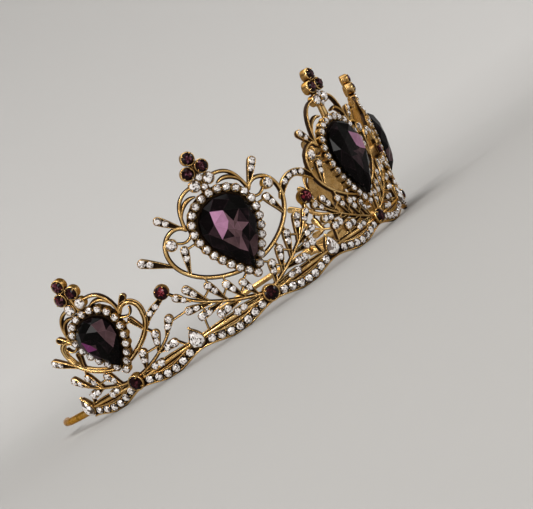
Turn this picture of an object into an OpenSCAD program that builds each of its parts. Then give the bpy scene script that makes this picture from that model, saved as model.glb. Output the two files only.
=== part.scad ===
// Openwork tiara in cast antique gold, set with pear gems and round stones.
// Millimetres, +Z up, the front faces -Y. It stands on the undersides of its ten base scallops.
// Positions on the leaning wall are given as arc (along the ring at base stone level) and height
// (above the base stone centres). Halves of a motif mirror each other.

/* [Ring] */
// radius of the wall at base stone level
ring_radius = 70; // [66:0.5:76]
// outward lean of the wall, degrees
flare = 8.9; // [6:0.1:11]
// arc between the middles of two motifs
pitch = 48; // [46:0.5:50]
// height of the base stone centres above the surface
rest_height = 4.6; // [4.4:0.05:4.65]

/* [Side wires] */
// diameter of the wire that runs on round each side
wire_diameter = 2.4; // [1.8:0.1:3]
// angle from the front at which a wire ends
wire_end = 135; // [120:1:145]

/* [Metal] */
// depth of the openwork, front to back
wall_depth = 1.5; // [1.2:0.1:2]
// rim left round the sunk floor of a bud
rim = 0.4; // [0.3:0.05:0.5]
// depth of the sunk floors
sink = 0.45; // [0.3:0.05:0.6]
// half width of a scroll wire
scroll_half = 0.7; // [0.6:0.05:0.85]

/* [Stones] */
// diameter of a small stone in the halos and the base rail
small_stone = 2.2; // [2:0.05:2.25]
// diameter of a dark stone in a crest
crest_stone = 3.5; // [3:0.1:3.7]
// diameter of a base stone
base_stone = 4.2; // [3.6:0.1:4.5]
// diameter of a dark red stone between two motifs
link_stone = 3.8; // [3.4:0.1:4.1]
// diameter of a clear stone in a crest or a side scroll
clear_stone = 3; // [2.6:0.1:3.1]

/* [Build] */
// which piece to make

/* [Hidden] */
places = ["far_left", "left", "centre", "right", "far_right"];
kinds = [0, 1, 2, 1, 0];
gap = 0.1;

// One row for each kind of motif: small end, middle, large centre.
// gem width, gem height, height of the gem's point, stones in the halo
gem_sizes = [
    [13.4, 16.6, 7.0, 20],
    [16.4, 22.7, 9.0, 26],
    [17.2, 24.4, 7.6, 28],
];
// half spacing and height of the clear crest pair, then of the dark pair, height of the top stone
crests = [
    [2.0, 28.1, 2.1, 31.9, 35.5],
    [2.1, 36.9, 2.1, 40.8, 44.4],
    [2.2, 40.2, 2.1, 44.4, 48.0],
];

// Cubic curves on the wall: start, two handles and end, each as arc and height.
stems = [
    [[1.6, 0.9], [7.0, 1.5], [12.5, 3.4], [17.2, 6.7]],
    [[1.6, 0.9], [9.0, 3.3], [18.3, 8.2], [22.9, 15.6]],
    [[1.6, 0.9], [9.0, 3.3], [18.3, 8.2], [22.9, 15.6]],
];
lobes = [
    [[9.2, 19.4], [11.6, 22.6], [16.4, 20.6], [14.9, 15.6]],
    [[10.2, 28.2], [12.5, 32.2], [19.6, 29.0], [18.3, 21.6]],
    [[10.4, 28.2], [12.3, 31.8], [18.4, 28.8], [17.4, 21.6]],
];
returns = [
    [[14.9, 15.6], [14.4, 11.8], [9.8, 8.4], [3.2, 6.6]],
    [[18.3, 21.6], [17.4, 16.5], [11.5, 11.4], [3.8, 10.0]],
    [[17.4, 21.6], [16.5, 16.5], [11.2, 11.4], [3.8, 9.2]],
];
top_scrolls = [
    [[3.2, 28.5], [8.2, 28.4], [9.8, 24.6], [9.6, 19.6]],
    [[3.4, 37.2], [8.4, 37.0], [9.5, 33.0], [10.3, 28.4]],
    [[3.6, 40.5], [9.0, 40.2], [10.0, 34.5], [10.6, 28.4]],
];
inner_leaves = [
    [[3.6, 25.8], [6.2, 26.8], [8.4, 25.4], [9.2, 22.8]],
    [[3.6, 34.4], [6.0, 35.4], [8.2, 33.8], [9.3, 31.6]],
    [[3.8, 35.4], [6.4, 36.6], [8.8, 34.6], [9.9, 32.0]],
];
hooks = [
    [[8.6, 18.4], [11.0, 16.6], [12.4, 17.4], [12.8, 19.2]],
    [[9.6, 26.2], [11.8, 24.4], [13.4, 25.4], [14.8, 27.0]],
    [[9.8, 26.2], [11.8, 24.4], [13.1, 25.4], [14.2, 27.0]],
];
shoulder_arch = [[17.7, 21.0], [19.6, 23.8], [21.6, 25.2], [23.5, 25.2]];
shoulder_ruby = [[13.8, 12.2], [15.8, 14.6], [18.4, 14.9], [21.4, 16.0]];

// Buds: root arc, root height, tip arc, tip height, half width at the tip.
small_leaves = [
    [5.2, 1.6, 8.1, 7.2, 1.35],
    [11.8, 3.8, 14.8, 9.8, 1.35],
    [16.4, 6.2, 20.9, 11.0, 1.35],
    [4.8, 1.2, 11.6, 0.5, 1.25],
    [11.8, 3.6, 18.4, 3.4, 1.35],
];
full_leaves = [
    [3.0, 1.3, 5.3, 8.0, 1.3],
    [6.5, 2.9, 9.4, 10.2, 1.3],
    [10.9, 5.1, 13.6, 12.8, 1.3],
    [15.3, 7.9, 19.2, 15.2, 1.35],
    [3.0, 1.0, 11.7, 0.7, 1.25],
    [8.0, 3.2, 15.6, 2.9, 1.3],
    [12.2, 5.6, 20.3, 5.2, 1.3],
    [14.8, 7.1, 22.4, 9.0, 1.3],
    [19.2, 10.8, 22.9, 14.6, 1.2],
];
upper_buds = [
    [9.4, 19.6, 13.9, 23.2, 0.8],
    [10.4, 28.4, 15.9, 35.5, 1.3],
    [10.6, 28.4, 15.4, 34.8, 1.25],
];
diagonal_buds = [
    [12.4, 11.8, 10.4, 16.8, 0.85],
    [15.9, 17.0, 13.1, 24.7, 1.3],
    [15.5, 17.0, 12.9, 24.7, 1.3],
];
free_buds = [
    [13.6, 12.6, 22.6, 18.4, 1.35],
    [18.0, 21.0, 26.0, 28.0, 1.35],
];
// Short joints: from arc and height to arc and height.
small_joints = [
    [7.6, 6.6, 6.2, 8.2],
    [14.0, 9.2, 12.8, 11.2],
    [8.2, 15.6, 10.6, 15.8],
    [18.0, 3.4, 19.8, 0.8],
    [8.3, 5.4, 12.8, 5.2],
];
full_joints = [
    [4.9, 7.2, 2.8, 8.6],
    [5.4, 6.0, 7.4, 4.4],
    [9.2, 9.4, 8.8, 11.6],
    [9.6, 8.4, 11.6, 6.8],
    [13.4, 12.0, 13.2, 14.2],
    [13.8, 10.8, 16.2, 9.4],
    [14.8, 2.6, 15.0, 0.4],
    [19.6, 4.8, 20.6, 0.4],
    [18.4, 8.0, 18.4, 5.4],
    [9.8, 23.4, 12.8, 23.4],
];
// arc and height of the clear stone inside a side scroll
side_clears = [[0, 0], [15.7, 26.8], [15.0, 26.8]];

// Half motifs, left to right: motif, side, arc to the cusp, form of the shoulder, stones in the rail
halves = [
    [0, -1, 23.5, "free", 6],
    [0, 1, 23.0, "ruby", 6],
    [1, -1, 25.0, "free", 7],
    [1, 1, 24.0, "arch", 7],
    [2, -1, 24.0, "arch", 7],
    [2, 1, 24.0, "arch", 7],
    [3, -1, 24.0, "arch", 7],
    [3, 1, 25.0, "free", 7],
    [4, -1, 23.0, "ruby", 6],
    [4, 1, 23.5, "free", 6],
];
function centre_arc(m) = (m - 2) * pitch;
cusps = [
    centre_arc(0) - 23.5,
    centre_arc(0) + 23.0,
    centre_arc(1) + 24.0,
    centre_arc(2) + 24.0,
    centre_arc(3) + 25.0,
    centre_arc(4) + 23.5,
];
link_stones = [
    [centre_arc(0) + 22.8, 17.5],
    [centre_arc(1) + 24.0, 17.5],
    [centre_arc(2) + 24.0, 17.5],
    [centre_arc(4) - 22.8, 17.5],
];
// The ring's centre sits this far behind the middle of the whole outline.
centre_y = 15.25;

function turn(s) = s / ring_radius * 180 / PI;
function wall_radius(z) = ring_radius + z * tan(flare);
function side_dir(s) = [cos(turn(s)), sin(turn(s)), 0];
function up_dir(s) = [sin(turn(s)) * sin(flare), -cos(turn(s)) * sin(flare), cos(flare)];
function out_dir(s) = [sin(turn(s)) * cos(flare), -cos(turn(s)) * cos(flare), -sin(flare)];
function wall_point(s, z, d = 0) =
    [wall_radius(z) * sin(turn(s)), centre_y - wall_radius(z) * cos(turn(s)), z + rest_height]
    + d * out_dir(s);
function unit(v) = v / norm(v);

module on_wall(s, z, d = 0) {
    p = wall_point(s, z, d);
    a = side_dir(s);
    b = up_dir(s);
    c = out_dir(s);
    multmatrix([
        [a[0], b[0], c[0], p[0]],
        [a[1], b[1], c[1], p[1]],
        [a[2], b[2], c[2], p[2]],
        [0, 0, 0, 1],
    ]) children();
}

function curve_point(c, t) =
    pow(1 - t, 3) * c[0] + 3 * pow(1 - t, 2) * t * c[1] + 3 * (1 - t) * t * t * c[2] + t * t * t * c[3];
function curve_points(c, n) = [for (i = [0 : n]) curve_point(c, i / n)];

// A half motif is drawn flat, in the plane that touches the wall at the half's own middle.
function flat_mid(row) = centre_arc(row[0]) + row[1] * 12;
function flat(row, x, z) =
    let (
        s0 = flat_mid(row),
        v = wall_point(centre_arc(row[0]) + row[1] * x, z) - wall_point(s0, 0)
    )
    [v * side_dir(s0), v * up_dir(s0)];
// The fern of a wide half is drawn out to its cusp.
function fern_scale(row) = kinds[row[0]] == 0 ? 1 : row[2] / 24;

module stroke(row, path, widths) {
    n = len(path);
    mid = [for (p = path) flat(row, p[0], p[1])];
    t = [for (i = [0 : n - 1]) unit(mid[min(i + 1, n - 1)] - mid[max(i - 1, 0)])];
    left = [for (i = [0 : n - 1]) mid[i] + [-t[i][1], t[i][0]] * widths[i]];
    right = [for (i = [n - 1 : -1 : 0]) mid[i] - [-t[i][1], t[i][0]] * widths[i]];
    polygon(concat(left, right));
}

module wire(row, c, n, half, stretch = 1) {
    path = [for (p = curve_points(c, n)) [p[0] * stretch, p[1]]];
    stroke(row, path, [for (i = [0 : n]) half]);
}

// A bud is a teardrop from its narrow root to its round tip.
module bud(row, b, stretch = 1) {
    a = flat(row, b[0] * stretch, b[1]);
    e = flat(row, b[2] * stretch, b[3]);
    t = unit(e - a);
    w = [-t[1], t[0]];
    r = b[4];
    c = e - t * r;
    tip = [for (k = [-80 : 32 : 80]) c + t * r * cos(k) - w * r * sin(k)];
    polygon(concat([a + w * 0.5, a - w * 0.5], [for (i = [len(tip) - 1 : -1 : 0]) tip[i]]));
}

// The sunk floor of a bud, inside its rim.
module bud_floor(row, b, stretch = 1) {
    a = flat(row, b[0] * stretch, b[1]);
    e = flat(row, b[2] * stretch, b[3]);
    t = unit(e - a);
    w = [-t[1], t[0]];
    r = b[4] - rim;
    c = e - t * b[4];
    root = a + t * 1.8;
    polygon(concat([root - w * 0.25, root + w * 0.25], [for (k = [80 : -32 : -80]) c + t * r * cos(k) + w * r * sin(k)]));
}

module bar(row, b, stretch = 1) {
    stroke(row, [[b[0] * stretch, b[1]], [b[2] * stretch, b[3]]], [0.35, 0.35]);
}

// Each half of a base rail hangs in one scallop.
function rail_height(x, half) = -0.9 - 2.1 * pow(sin(180 * x / half), 2);

module rail_shape(row, inset, half_width) {
    half = row[2];
    path = [for (i = [0 : 12]) let (x = inset + (half - 2 * inset) * i / 12) [x, rail_height(x, half)]];
    stroke(row, path, [for (i = [0 : 12]) half_width]);
}

module blade_shape(row) {
    length = row[2] - 4.4;
    path = [for (i = [0 : 8]) [2.4 + length * i / 8, -0.2 + 0.65 * i / 8]];
    stroke(row, path, [for (i = [0 : 8]) 1 + 0.45 * sin(22.5 * i)]);
}

module half_pattern(row) {
    k = kinds[row[0]];
    f = fern_scale(row);
    wire(row, stems[k], 10, 0.55, f);
    wire(row, lobes[k], 9, scroll_half);
    wire(row, returns[k], 9, scroll_half);
    wire(row, top_scrolls[k], 8, scroll_half * 0.85);
    wire(row, inner_leaves[k], 4, 0.5);
    wire(row, hooks[k], 5, 0.5);
    for (b = (k == 0 ? small_leaves : full_leaves))
        bud(row, b, f);
    bud(row, upper_buds[k]);
    bud(row, diagonal_buds[k]);
    for (b = (k == 0 ? small_joints : full_joints))
        bar(row, b);
    if (row[3] == "free")
        bud(row, free_buds[k]);
    if (row[3] == "arch")
        wire(row, shoulder_arch, 5, 1.25);
    if (row[3] == "ruby")
        wire(row, shoulder_ruby, 5, 1.1);
    if (k > 0)
        translate(flat(row, side_clears[k][0], side_clears[k][1]))
            circle(r = clear_stone / 2 + 0.35, $fn = 12);
    rail_shape(row, 0.4, 1.75);
    blade_shape(row);
}

// What is sunk below the rims of a half motif.
module half_floors(row) {
    k = kinds[row[0]];
    f = fern_scale(row);
    for (b = (k == 0 ? small_leaves : full_leaves))
        bud_floor(row, b, f);
    if (k > 0) {
        bud_floor(row, upper_buds[k]);
        bud_floor(row, diagonal_buds[k]);
    }
    if (row[3] == "free")
        bud_floor(row, free_buds[k]);
    if (row[3] == "arch")
        stroke(row, [for (i = [2 : 9]) curve_point(shoulder_arch, i / 10)], [for (i = [2 : 9]) 1.25 - rim]);
    if (row[3] == "ruby")
        stroke(row, [for (i = [2 : 7]) curve_point(shoulder_ruby, i / 10)], [for (i = [2 : 7]) 1.1 - rim]);
    rail_shape(row, 2.7, 1.22);
}

// The leaning wall that the openwork is cut from. Its foot lies in the resting plane.
module wall_shell(d0, d1, foot) {
    low = wall_radius(foot - rest_height);
    head = wall_radius(60 - rest_height);
    translate([0, centre_y, 0])
        rotate([0, 0, 90])
            difference() {
                translate([0, 0, foot])
                    cylinder(r1 = low + d1 / cos(flare), r2 = head + d1 / cos(flare), h = 60 - foot, $fn = 180);
                translate([0, 0, foot - 1])
                    cylinder(
                        r1 = low + d0 / cos(flare) - tan(flare),
                        r2 = head + d0 / cos(flare) + tan(flare),
                        h = 62 - foot,
                        $fn = 180
                    );
            }
}

module on_half(row) {
    on_wall(flat_mid(row), 0, -6)
        linear_extrude(height = 14)
            offset(delta = 0.02)
                children();
}

module half_wall(row) {
    difference() {
        intersection() {
            wall_shell(-wall_depth / 2, wall_depth / 2, 0);
            on_half(row)
                half_pattern(row);
        }
        intersection() {
            wall_shell(wall_depth / 2 - sink, wall_depth / 2 + 3, -1);
            on_half(row)
                half_floors(row);
        }
    }
}

// Outline of a pear, point down at the origin.
function pear_point(w, h, t) = [w / 2 * sin(t) * sin(t / 2) / 0.7698, h * (1 - cos(t)) / 2];
function pear(w, h, n) = [for (i = [0 : n - 1]) pear_point(w, h, 360 * i / n)];
function blunt_pear(w, h, n) = [for (i = [1 : n - 1]) pear_point(w, h, 360 * i / n)];

// Points at equal steps along the halo, the first below the gem's point.
function halo_points(k) =
    let (
        fine = 180,
        path = pear(gem_sizes[k][0] + 3.4, gem_sizes[k][1] + 3.9, fine),
        steps = [for (i = [0 : fine - 1]) norm(path[(i + 1) % fine] - path[i])],
        sums = [for (i = 0, a = 0; i <= fine; a = a + (i < fine ? steps[i] : 0), i = i + 1) a],
        count = gem_sizes[k][3]
    )
    [
        for (j = [0 : count - 1])
            let (
                target = sums[fine] * j / count,
                hit = [for (i = [0 : fine - 1]) if (sums[i] <= target && target < sums[i + 1]) i][0],
                f = (target - sums[hit]) / steps[hit]
            )
            path[hit] * (1 - f) + path[(hit + 1) % fine] * f - [0, 2.2]
    ];

// A motif's gem and its halo lie in one flat plane, measured from the gem's point.
module gem_plane(m, d) {
    on_wall(centre_arc(m), gem_sizes[kinds[m]][2], d) children();
}

module gem_setting(m) {
    k = kinds[m];
    w = gem_sizes[k][0];
    h = gem_sizes[k][1];
    gem_plane(m, 0)
        difference() {
            union() {
                translate([0, -4.1, -1.0])
                    linear_extrude(height = 1.6)
                        polygon(blunt_pear(w + 5.9, h + 7.05, 28));
                translate([0, -0.7, 0])
                    linear_extrude(height = 1.5)
                        polygon(pear(w + 1.0, h + 1.2, 28));
            }
            translate([0, -0.15, 0])
                linear_extrude(height = 3)
                    polygon(pear(w + 0.25, h + 0.3, 28));
        }
}

// A cup with a round seat for one stone.
module cup(s, z, diameter, rim, d0, seat, top) {
    on_wall(s, z, d0)
        difference() {
            cylinder(r = diameter / 2 + rim, h = top - d0, $fn = 48);
            translate([0, 0, seat - d0])
                cylinder(r = diameter / 2 + 0.12, h = top, $fn = 48);
        }
}

module crest_metal(m) {
    c = crests[kinds[m]];
    s = centre_arc(m);
    foot = gem_sizes[kinds[m]][1] + 1.0;
    rise = (c[4] - gem_sizes[kinds[m]][2]) / cos(flare);
    gem_plane(m, -0.9)
        linear_extrude(height = 1.35)
            polygon([[-4.2, foot], [4.2, foot], [2.6, foot + 6], [0.9, rise - 1.2], [-0.9, rise - 1.2], [-2.6, foot + 6]]);
    for (side = [-1, 1]) {
        on_wall(s + side * c[0], c[1], -0.85)
            cylinder(r = clear_stone / 2 + 0.35, h = 1.65, $fn = 48);
        cup(s + side * c[2], c[3], crest_stone, 0.45, -0.95, 0.8, 1.7);
    }
    cup(s, c[4], crest_stone, 0.45, -0.95, 0.8, 1.7);
}

// A pear-shaped plate stands at each cusp and ties the rails together.
module cusp_plate(s) {
    on_wall(s, -1.9, -0.95)
        linear_extrude(height = 1.9)
            translate([0, 6.6])
                rotate([0, 0, 180])
                    polygon(pear(5.0, 6.6, 20));
}

// The plain wire starts behind the last cusp and ends in a round tip.
module side_wire(side) {
    from = turn(cusps[5]) - 1.5;
    mid = wall_radius(0) - 1.1;
    translate([0, centre_y, rest_height - 0.3])
        mirror([side > 0 ? 0 : 1, 0, 0])
            rotate([0, 0, from - 90]) {
                rotate_extrude(angle = wire_end - from, $fn = 180)
                    translate([mid, 0])
                        circle(r = wire_diameter / 2, $fn = 24);
                rotate([0, 0, wire_end - from])
                    translate([mid, 0, 0])
                        sphere(r = wire_diameter / 2, $fn = 24);
            }
}

module frame() {
    color("#b5893f") {
        for (row = halves)
            half_wall(row);
        for (m = [0 : 4]) {
            gem_setting(m);
            crest_metal(m);
            cup(centre_arc(m), 0, base_stone, 0.5, -1.0, 0.8, 1.8);
        }
        for (p = link_stones)
            cup(p[0], p[1], link_stone, 0.5, -0.9, 0.8, 1.7);
        for (s = cusps)
            cusp_plate(s);
        for (s = [cusps[2], cusps[3]])
            on_wall(s, 25.2, -0.85)
                cylinder(r = 1.4, h = 1.7, $fn = 48);
        for (side = [-1, 1]) {
            side_wire(side);
            on_wall(side * (2 * pitch - 22.9), 9.1, -0.6)
                translate([-2.3, -0.35, 0])
                    cube([4.6, 0.7, 1.1]);
        }
    }
}

// A round stone on its flat back: a table above rings of eight facets.
module round_cut(d, depth, rows = 2) {
    r = d / 2 * 0.92;
    right = rows == 2
        ? [[0.6 * r, 0], [r, 0.45 * depth], [r, 0.55 * depth], [0.84 * r, 0.84 * depth], [0.56 * r, depth]]
        : [[0.65 * r, 0], [r, 0.45 * depth], [r, 0.58 * depth], [0.6 * r, depth]];
    left = [for (i = [len(right) - 1 : -1 : 0]) [-right[i][0], right[i][1]]];
    intersection_for (a = [0 : 45 : 135])
        rotate([0, 0, a])
            rotate([90, 0, 0])
                linear_extrude(height = 2.4 * r, center = true)
                    polygon(concat(right, left));
}

// A pear cut, point down: a table, rows of crown facets, a girdle and a pavilion.
module pear_cut(w, h, depth, n, rows) {
    outline = pear(w, h, n);
    middle = [0, 0.56 * h];
    levels = rows == 2
        ? [[0.42, 0], [1, 0.42 * depth], [1, 0.5 * depth], [0.85, 0.78 * depth], [0.6, depth]]
        : [[0.55, 0], [1, 0.45 * depth], [1, 0.55 * depth], [0.6, depth]];
    points = [
        for (level = levels)
            for (p = outline)
                let (q = middle + (p - middle) * level[0])
                [q[0], q[1], level[1]]
    ];
    last = len(levels) - 1;
    faces = [
        for (i = [0 : last - 1])
            for (k = [0 : n - 1])
                each [
                    [n * i + k, n * i + n + (k + 1) % n, n * i + (k + 1) % n],
                    [n * i + k, n * i + n + k, n * i + n + (k + 1) % n],
                ]
    ];
    polyhedron(points, concat(faces, [[for (k = [0 : n - 1]) k], [for (k = [n - 1 : -1 : 0]) n * last + k]]));
}

module pear_gem(m) {
    k = kinds[m];
    color("#3a1230")
        gem_plane(m, 0.1)
            pear_cut(gem_sizes[k][0], gem_sizes[k][1], 4.8, 16, 2);
}

module base_gem(m) {
    color("#3a1230")
        on_wall(centre_arc(m), 0, 0.9)
            round_cut(base_stone, 2.4);
}

module crest_gem(m, i) {
    c = crests[kinds[m]];
    spots = [[-c[2], c[3]], [c[2], c[3]], [0, c[4]]];
    color("#3a1230")
        on_wall(centre_arc(m) + spots[i][0], spots[i][1], 0.9)
            round_cut(crest_stone, 1.9);
}

module link_gem(i) {
    color("#5c0f1c")
        on_wall(link_stones[i][0], link_stones[i][1], 0.9)
            round_cut(link_stone, 2.1);
}

module cusp_gem(i) {
    color("#d8d4cf")
        on_wall(cusps[i], -1.9, 1.05)
            translate([0, 6.0, 0])
                rotate([0, 0, 180])
                    pear_cut(4.2, 5.6, 1.8, 12, 1);
}

module halo_gems(m) {
    k = kinds[m];
    color("#d8d4cf") {
        gem_plane(m, 0.7)
            for (p = halo_points(k))
                translate([p[0], p[1], 0])
                    round_cut(small_stone, 1.2, 1);
        for (side = [-1, 1])
            on_wall(centre_arc(m) + side * crests[k][0], crests[k][1], 0.9)
                round_cut(clear_stone, 1.6, 1);
        if (k > 0)
            for (side = [-1, 1])
                on_wall(centre_arc(m) + side * side_clears[k][0], side_clears[k][1], 0.9)
                    round_cut(clear_stone, 1.6, 1);
    }
}

function rail_spots(row) = [
    for (i = [0 : row[4] - 1])
        let (x = 3.9 + (row[2] - 7.8) * i / (row[4] - 1))
        [centre_arc(row[0]) + row[1] * x, rail_height(x, row[2])]
];

module rail_gems(first, last) {
    color("#d8d4cf")
        for (i = [first : last])
            for (p = rail_spots(halves[i]))
                on_wall(p[0], p[1], wall_depth / 2 - sink + gap)
                    round_cut(small_stone, 1.3, 1);
}

frame();
for (m = [0 : 4]) {
    pear_gem(m);
    base_gem(m);
    for (i = [0 : 2])
        crest_gem(m, i);
    halo_gems(m);
}
for (i = [0 : 3])
    link_gem(i);
for (i = [0 : 5])
    cusp_gem(i);
rail_gems(0, 4);  // rail_stones_left
rail_gems(5, 9);  // rail_stones_right
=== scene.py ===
"""The looks of an openwork tiara: antique gold, dark purple and dark red stones, clear stones.

Sizes are millimetres until a piece is made. A place on the leaning wall is (arc, height, depth): arc along
the ring at base stone level, height above the base stone centres, depth outward from the wall's middle.
"""
from collections import namedtuple
from math import atan2, cos, hypot, pi, radians, sin, tan

import bmesh
import bpy
import numpy as np
from mathutils import Matrix, Vector


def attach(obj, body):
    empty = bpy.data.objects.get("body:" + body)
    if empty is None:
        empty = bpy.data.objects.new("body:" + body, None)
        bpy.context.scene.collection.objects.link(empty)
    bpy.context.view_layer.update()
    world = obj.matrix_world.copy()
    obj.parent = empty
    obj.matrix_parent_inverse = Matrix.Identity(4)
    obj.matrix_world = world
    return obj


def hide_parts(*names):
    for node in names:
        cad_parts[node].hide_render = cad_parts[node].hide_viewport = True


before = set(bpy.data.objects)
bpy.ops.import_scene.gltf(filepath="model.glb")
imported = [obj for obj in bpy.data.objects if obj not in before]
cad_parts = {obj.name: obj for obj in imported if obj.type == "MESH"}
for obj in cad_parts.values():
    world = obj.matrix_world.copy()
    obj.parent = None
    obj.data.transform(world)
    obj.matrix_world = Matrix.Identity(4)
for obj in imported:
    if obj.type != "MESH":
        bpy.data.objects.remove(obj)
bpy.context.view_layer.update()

MM = 0.001

# The ring and its leaning wall.
RING_RADIUS = 70.0
FLARE = radians(8.9)
PITCH = 48.0
REST_HEIGHT = 4.6
CENTRE_Y = 15.25

# Stones, by diameter.
SMALL_STONE = 2.2
CREST_STONE = 3.5
BASE_STONE = 4.2
LINK_STONE = 3.8
CLEAR_STONE = 3.0

# The side wires. The tuck is how far each starts inside the last cusp.
WIRE_RADIUS = 1.2
WIRE_RING = RING_RADIUS - 1.1
WIRE_HEIGHT = REST_HEIGHT - 0.3
WIRE_TUCK = radians(1.5)
WIRE_END = radians(135)
WIRE_SIDES = 20

# The motifs from left to right, and the kind of each: small end, middle, large centre.
PLACES = ["far_left", "left", "centre", "right", "far_right"]
KINDS = [0, 1, 2, 1, 0]

# Lists with three rows have one row for each kind.
# gem width, gem height, height of the gem's point, stones in the halo
GEM_SIZES = [
    (13.4, 16.6, 7.0, 20),
    (16.4, 22.7, 9.0, 26),
    (17.2, 24.4, 7.6, 28),
]
# half spacing and height of the clear crest pair, then of the dark pair, height of the top stone
CRESTS = [
    (2.0, 28.1, 2.1, 31.9, 35.5),
    (2.1, 36.9, 2.1, 40.8, 44.4),
    (2.2, 40.2, 2.1, 44.4, 48.0),
]
# Small stones on the spine of a crest: height above the clear pair's centres, radius.
CREST_MIDDLES = [(1.55, 0.95), (-1.5, 0.85)]

# Cubic curves on the wall: start, two handles and end, each as arc and height.
SMALL_STEM = [(1.6, 0.9), (7.0, 1.5), (12.5, 3.4), (17.2, 6.7)]
FULL_STEM = [(1.6, 0.9), (9.0, 3.3), (18.3, 8.2), (22.9, 15.6)]
LOBES = [
    [(9.2, 19.4), (11.6, 22.6), (16.4, 20.6), (14.9, 15.6)],
    [(10.2, 28.2), (12.5, 32.2), (19.6, 29.0), (18.3, 21.6)],
    [(10.4, 28.2), (12.3, 31.8), (18.4, 28.8), (17.4, 21.6)],
]
RETURNS = [
    [(14.9, 15.6), (14.4, 11.8), (9.8, 8.4), (3.2, 6.6)],
    [(18.3, 21.6), (17.4, 16.5), (11.5, 11.4), (3.8, 10.0)],
    [(17.4, 21.6), (16.5, 16.5), (11.2, 11.4), (3.8, 9.2)],
]
TOP_SCROLLS = [
    [(3.2, 28.5), (8.2, 28.4), (9.8, 24.6), (9.6, 19.6)],
    [(3.4, 37.2), (8.4, 37.0), (9.5, 33.0), (10.3, 28.4)],
    [(3.6, 40.5), (9.0, 40.2), (10.0, 34.5), (10.6, 28.4)],
]
INNER_LEAVES = [
    [(3.6, 25.8), (6.2, 26.8), (8.4, 25.4), (9.2, 22.8)],
    [(3.6, 34.4), (6.0, 35.4), (8.2, 33.8), (9.3, 31.6)],
    [(3.8, 35.4), (6.4, 36.6), (8.8, 34.6), (9.9, 32.0)],
]
HOOKS = [
    [(8.6, 18.4), (11.0, 16.6), (12.4, 17.4), (12.8, 19.2)],
    [(9.6, 26.2), (11.8, 24.4), (13.4, 25.4), (14.8, 27.0)],
    [(9.8, 26.2), (11.8, 24.4), (13.1, 25.4), (14.2, 27.0)],
]
SHOULDER_ARCH = [(17.7, 21.0), (19.6, 23.8), (21.6, 25.2), (24.2, 25.2)]
SHOULDER_RUBY = [(13.8, 12.2), (15.8, 14.6), (18.4, 14.9), (21.4, 16.0)]

# Buds: root arc, root height, tip arc, tip height, half width at the tip.
SMALL_LEAVES = [
    (5.2, 1.6, 8.1, 7.2, 1.35), (11.8, 3.8, 14.8, 9.8, 1.35), (16.4, 6.2, 20.9, 11.0, 1.35),
    (4.8, 1.2, 11.6, 0.5, 1.25), (11.8, 3.6, 18.4, 3.4, 1.35),
]
FULL_LEAVES = [
    (3.0, 1.3, 5.3, 8.0, 1.3), (6.5, 2.9, 9.4, 10.2, 1.3), (10.9, 5.1, 13.6, 12.8, 1.3),
    (15.3, 7.9, 19.2, 15.2, 1.35), (3.0, 1.0, 11.7, 0.7, 1.25), (8.0, 3.2, 15.6, 2.9, 1.3),
    (12.2, 5.6, 20.3, 5.2, 1.3), (14.8, 7.1, 22.4, 9.0, 1.3), (19.2, 10.8, 22.9, 14.6, 1.2),
]
UPPER_BUDS = [
    (9.4, 19.6, 13.9, 23.2, 1.05),
    (10.4, 28.4, 15.9, 35.5, 1.3),
    (10.6, 28.4, 15.4, 34.8, 1.25),
]
DIAGONAL_BUDS = [
    (12.4, 11.8, 10.4, 16.8, 0.85),
    (15.9, 17.0, 13.1, 24.7, 1.3),
    (15.5, 17.0, 12.9, 24.7, 1.3),
]
FREE_BUDS = [
    (13.6, 12.6, 22.6, 18.4, 1.35),
    (18.0, 21.0, 26.0, 28.0, 1.35),
]
# Short joints: from arc and height to arc and height.
SMALL_JOINTS = [
    (7.6, 6.6, 6.2, 8.2), (14.0, 9.2, 12.8, 11.2), (8.2, 15.6, 10.6, 15.8), (18.0, 3.4, 19.8, 0.8),
    (8.3, 5.4, 12.8, 5.2),
]
FULL_JOINTS = [
    (4.9, 7.2, 2.8, 8.6), (5.4, 6.0, 7.4, 4.4), (9.2, 9.4, 8.8, 11.6), (9.6, 8.4, 11.6, 6.8),
    (13.4, 12.0, 13.2, 14.2), (13.8, 10.8, 16.2, 9.4), (14.8, 2.6, 15.0, 0.4), (19.6, 4.8, 20.6, 0.4),
    (18.4, 8.0, 18.4, 5.4), (9.8, 23.4, 12.8, 23.4),
]
# arc and height of the clear stone inside a side scroll
SIDE_CLEARS = [None, (15.7, 26.8), (15.0, 26.8)]
ARCH_STONES = [(20.7, 24.3), (22.9, 25.15)]
RUBY_STONES = [(16.6, 14.3), (18.9, 15.05)]

# Left half motifs, left to right: motif, side, arc to the cusp, form of the shoulder, stones in the rail
LEFT_HALVES = [
    (0, -1, 23.5, "free", 6),
    (0, 1, 23.0, "ruby", 6),
    (1, -1, 25.0, "free", 7),
    (1, 1, 24.0, "arch", 7),
    (2, -1, 24.0, "arch", 7),
]
RIGHT_HALVES = [(4 - motif, -side, *rest) for motif, side, *rest in reversed(LEFT_HALVES)]
HALVES = LEFT_HALVES + RIGHT_HALVES


def centre_arc(m):
    return (m - 2) * PITCH


def cusp_arc(row):
    motif, side, length = row[:3]
    return centre_arc(motif) + side * length


CUSPS = [cusp_arc(HALVES[0])] + [cusp_arc(row) for row in HALVES if row[1] == 1]
# The link stones: arc from an end motif's middle to its own, and the height of all four.
END_LINK = 22.8
LINK_HEIGHT = 17.5
LINK_ARCS = [centre_arc(0) + END_LINK, -PITCH / 2, PITCH / 2, centre_arc(4) - END_LINK]


def wall_radius(height):
    return RING_RADIUS + height * tan(FLARE)


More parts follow.
